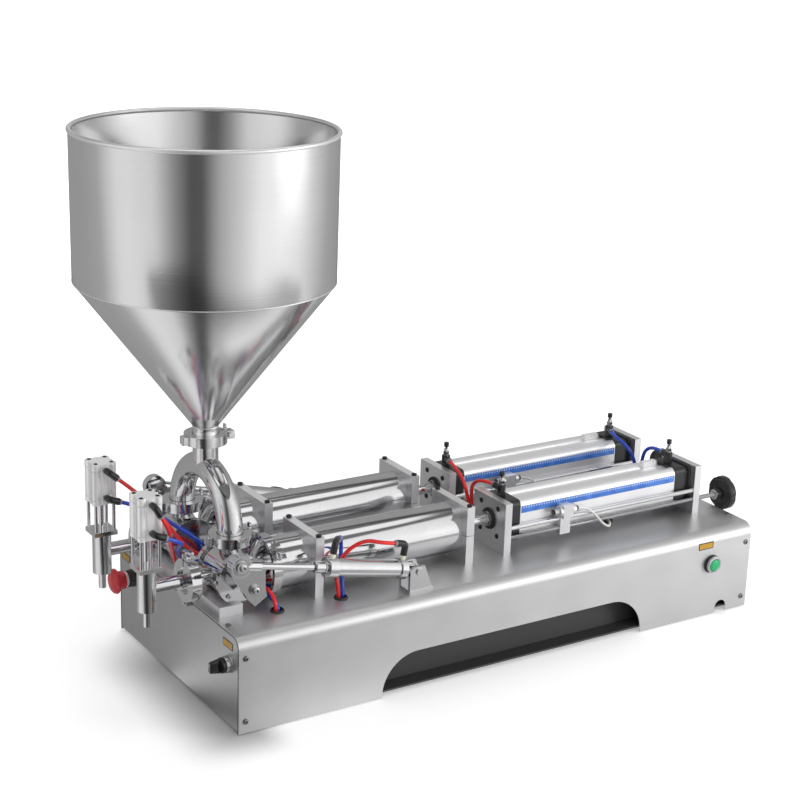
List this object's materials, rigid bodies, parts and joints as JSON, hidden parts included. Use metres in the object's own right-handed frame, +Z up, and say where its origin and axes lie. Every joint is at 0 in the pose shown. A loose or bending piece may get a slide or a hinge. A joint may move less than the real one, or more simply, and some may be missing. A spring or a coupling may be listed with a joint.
{
  "type": "piston filling machine",
  "caption": "Bench-top pneumatic liquid filling machine: hopper, rotary valves, metering pistons driven by air cylinders, and dripless nozzles on a folded sheet case.",
  "frame": {"origin": "centre of the four feet's hold-down holes, on the floor", "axes": "+X along the machine from the nozzles to the handwheels, +Z up, -Y the side with the start button"},
  "size_m": [1.1172, 0.438, 0.833],
  "materials": {
    "stainless": "fine brushed",
    "polished": "polished",
    "aluminium": "satin anodised",
    "dark_cap": "satin",
    "black_plastic": "matte",
    "black_rubber": "matte",
    "stop_red": "gloss",
    "start_green": "gloss",
    "hose_red": "gloss",
    "hose_blue": "gloss",
    "wire_white": "satin",
    "screw_steel": "machined"
  },
  "bodies": {
    "machine": {"housing_shell": "stainless", "end_plate_head": "stainless", "end_plate_drive": "stainless", "base_tray": "stainless", "rubber_feet": "black_rubber", "screws": "screw_steel", "valve_bar": "aluminium", "valve_bodies": "polished", "inlet_manifold": "polished", "hopper": "polished", "tube_clamps": "polished", "metering_tubes": "polished", "saddle_bases": "aluminium", "saddle_caps": "aluminium", "nozzle_bodies": "polished", "nozzle_actuators": "aluminium", "air_fittings": "black_plastic", "control_bezels": "black_plastic", "air_plates": "aluminium", "air_barrels": "aluminium", "air_caps": "dark_cap", "guide_rods": "polished", "reed_sensors": "black_plastic", "grommets": "black_rubber", "pivot_brackets": "stainless", "solenoid_valve_bank": "aluminium", "air_inlet": "polished", "fill_hose_near": "hose_red", "return_hose_near": "hose_blue", "nozzle_open_hose_near": "hose_red", "nozzle_shut_hose_near": "hose_blue", "fill_hose_far": "hose_red", "return_hose_far": "hose_blue", "nozzle_open_hose_far": "hose_red", "nozzle_shut_hose_far": "hose_blue"},
    "piston_near": {"piston_near": "polished"},
    "valve_lever_near": {"valve_lever_near": "stainless"},
    "valve_rod_near": {"valve_rod_near": "polished"},
    "nozzle_spindle_near": {"nozzle_spindle_near": "polished"},
    "handwheel_near": {"handwheel_near": "black_plastic"},
    "fill_speed_knob_near": {"fill_speed_knob_near": "polished"},
    "return_speed_knob_near": {"return_speed_knob_near": "polished"},
    "valve_cylinder_near": {"valve_cylinder_near": "aluminium", "valve_open_hose_near": "hose_blue", "valve_shut_hose_near": "hose_red"},
    "sensor_carriage_near": {"sensor_carriage_near": "aluminium", "sensor_wire_near": "wire_white"},
    "piston_far": {"piston_far": "polished"},
    "valve_lever_far": {"valve_lever_far": "stainless"},
    "valve_rod_far": {"valve_rod_far": "polished"},
    "nozzle_spindle_far": {"nozzle_spindle_far": "polished"},
    "handwheel_far": {"handwheel_far": "black_plastic"},
    "fill_speed_knob_far": {"fill_speed_knob_far": "polished"},
    "return_speed_knob_far": {"return_speed_knob_far": "polished"},
    "valve_cylinder_far": {"valve_cylinder_far": "aluminium"},
    "sensor_carriage_far": {"sensor_carriage_far": "aluminium", "sensor_wire_far": "wire_white"},
    "start_button": {"start_button": "start_green"},
    "selector_knob": {"selector_knob": "black_plastic"},
    "estop_button": {"estop_button": "stop_red"}
  },
  "joints": [
    {"name": "piston_stroke_near", "type": "slide", "parent": "machine", "child": "piston_near", "axis": [1, 0, 0], "range_m": [0, 0.24]},
    {"name": "valve_turn_near", "type": "hinge", "parent": "machine", "child": "valve_lever_near", "pos_m": [-0.431, -0.0795, 0.197], "axis": [0, 1, 0], "range_deg": [0, 90]},
    {"name": "valve_cylinder_swing_near", "type": "hinge", "parent": "machine", "child": "valve_cylinder_near", "pos_m": [-0.166, -0.166, 0.181], "axis": [0, 1, 0], "range_deg": [-1, 0.5]},
    {"name": "valve_rod_slide_near", "type": "slide", "parent": "valve_cylinder_near", "child": "valve_rod_near", "axis": [0.9786, 0, -0.2059], "range_m": [-0.001, 0.078]},
    {"name": "nozzle_open_near", "type": "slide", "parent": "machine", "child": "nozzle_spindle_near", "axis": [0, 0, 1], "range_m": [0, 0.018]},
    {"name": "handwheel_turn_near", "type": "hinge", "parent": "machine", "child": "handwheel_near", "pos_m": [0.4885, -0.118, 0.174], "axis": [1, 0, 0], "range_deg": [-10800, 2880]},
    {"name": "carriage_slide_near", "type": "slide", "parent": "machine", "child": "sensor_carriage_near", "axis": [1, 0, 0], "range_m": [-0.065, 0.241], "deforming": ["sensor_wire_near"]},
    {"name": "fill_speed_turn_near", "type": "hinge", "parent": "machine", "child": "fill_speed_knob_near", "pos_m": [0.05, -0.0795, 0.268], "axis": [0, 0, 1], "range_deg": [-720, 1080]},
    {"name": "return_speed_turn_near", "type": "hinge", "parent": "machine", "child": "return_speed_knob_near", "pos_m": [0.394, -0.0795, 0.268], "axis": [0, 0, 1], "range_deg": [-720, 1080]},
    {"name": "piston_stroke_far", "type": "slide", "parent": "machine", "child": "piston_far", "axis": [1, 0, 0], "range_m": [0, 0.24]},
    {"name": "valve_turn_far", "type": "hinge", "parent": "machine", "child": "valve_lever_far", "pos_m": [-0.431, 0.0795, 0.197], "axis": [0, 1, 0], "range_deg": [0, 90]},
    {"name": "valve_cylinder_swing_far", "type": "hinge", "parent": "machine", "child": "valve_cylinder_far", "pos_m": [-0.166, 0.166, 0.181], "axis": [0, 1, 0], "range_deg": [-9, 0.5]},
    {"name": "valve_rod_slide_far", "type": "slide", "parent": "valve_cylinder_far", "child": "valve_rod_far", "axis": [0.9687, 0, -0.2482], "range_m": [-0.001, 0.0695]},
    {"name": "nozzle_open_far", "type": "slide", "parent": "machine", "child": "nozzle_spindle_far", "axis": [0, 0, 1], "range_m": [0, 0.018]},
    {"name": "handwheel_turn_far", "type": "hinge", "parent": "machine", "child": "handwheel_far", "pos_m": [0.4885, 0.041, 0.174], "axis": [1, 0, 0], "range_deg": [-10800, 2880]},
    {"name": "carriage_slide_far", "type": "slide", "parent": "machine", "child": "sensor_carriage_far", "axis": [1, 0, 0], "range_m": [-0.065, 0.241], "deforming": ["sensor_wire_far"]},
    {"name": "fill_speed_turn_far", "type": "hinge", "parent": "machine", "child": "fill_speed_knob_far", "pos_m": [0.05, 0.0795, 0.268], "axis": [0, 0, 1], "range_deg": [-720, 1080]},
    {"name": "return_speed_turn_far", "type": "hinge", "parent": "machine", "child": "return_speed_knob_far", "pos_m": [0.394, 0.0795, 0.268], "axis": [0, 0, 1], "range_deg": [-720, 1080]},
    {"name": "start_press", "type": "slide", "parent": "machine", "child": "start_button", "axis": [0, 1, 0], "range_m": [0, 0.004], "stiffness_N_per_m": 500},
    {"name": "selector_turn", "type": "hinge", "parent": "machine", "child": "selector_knob", "pos_m": [-0.49, -0.175, 0.101], "axis": [1, 0, 0], "range_deg": [-45, 45]},
    {"name": "estop_press", "type": "slide", "parent": "machine", "child": "estop_button", "axis": [1, 0, 0], "range_m": [0, 0.005]}
  ],
  "couplings": [
    {"joint": "valve_cylinder_swing_near", "follows": "valve_turn_near", "ratio": -0.004229},
    {"joint": "valve_rod_slide_near", "follows": "valve_turn_near", "m_per_rad": 0.048605},
    {"joint": "carriage_slide_near", "follows": "handwheel_turn_near", "m_per_rad": -0.0012732},
    {"joint": "valve_cylinder_swing_far", "follows": "valve_turn_far", "ratio": -0.091965},
    {"joint": "valve_rod_slide_far", "follows": "valve_turn_far", "m_per_rad": 0.043132},
    {"joint": "carriage_slide_far", "follows": "handwheel_turn_far", "m_per_rad": -0.0012732}
  ]
}
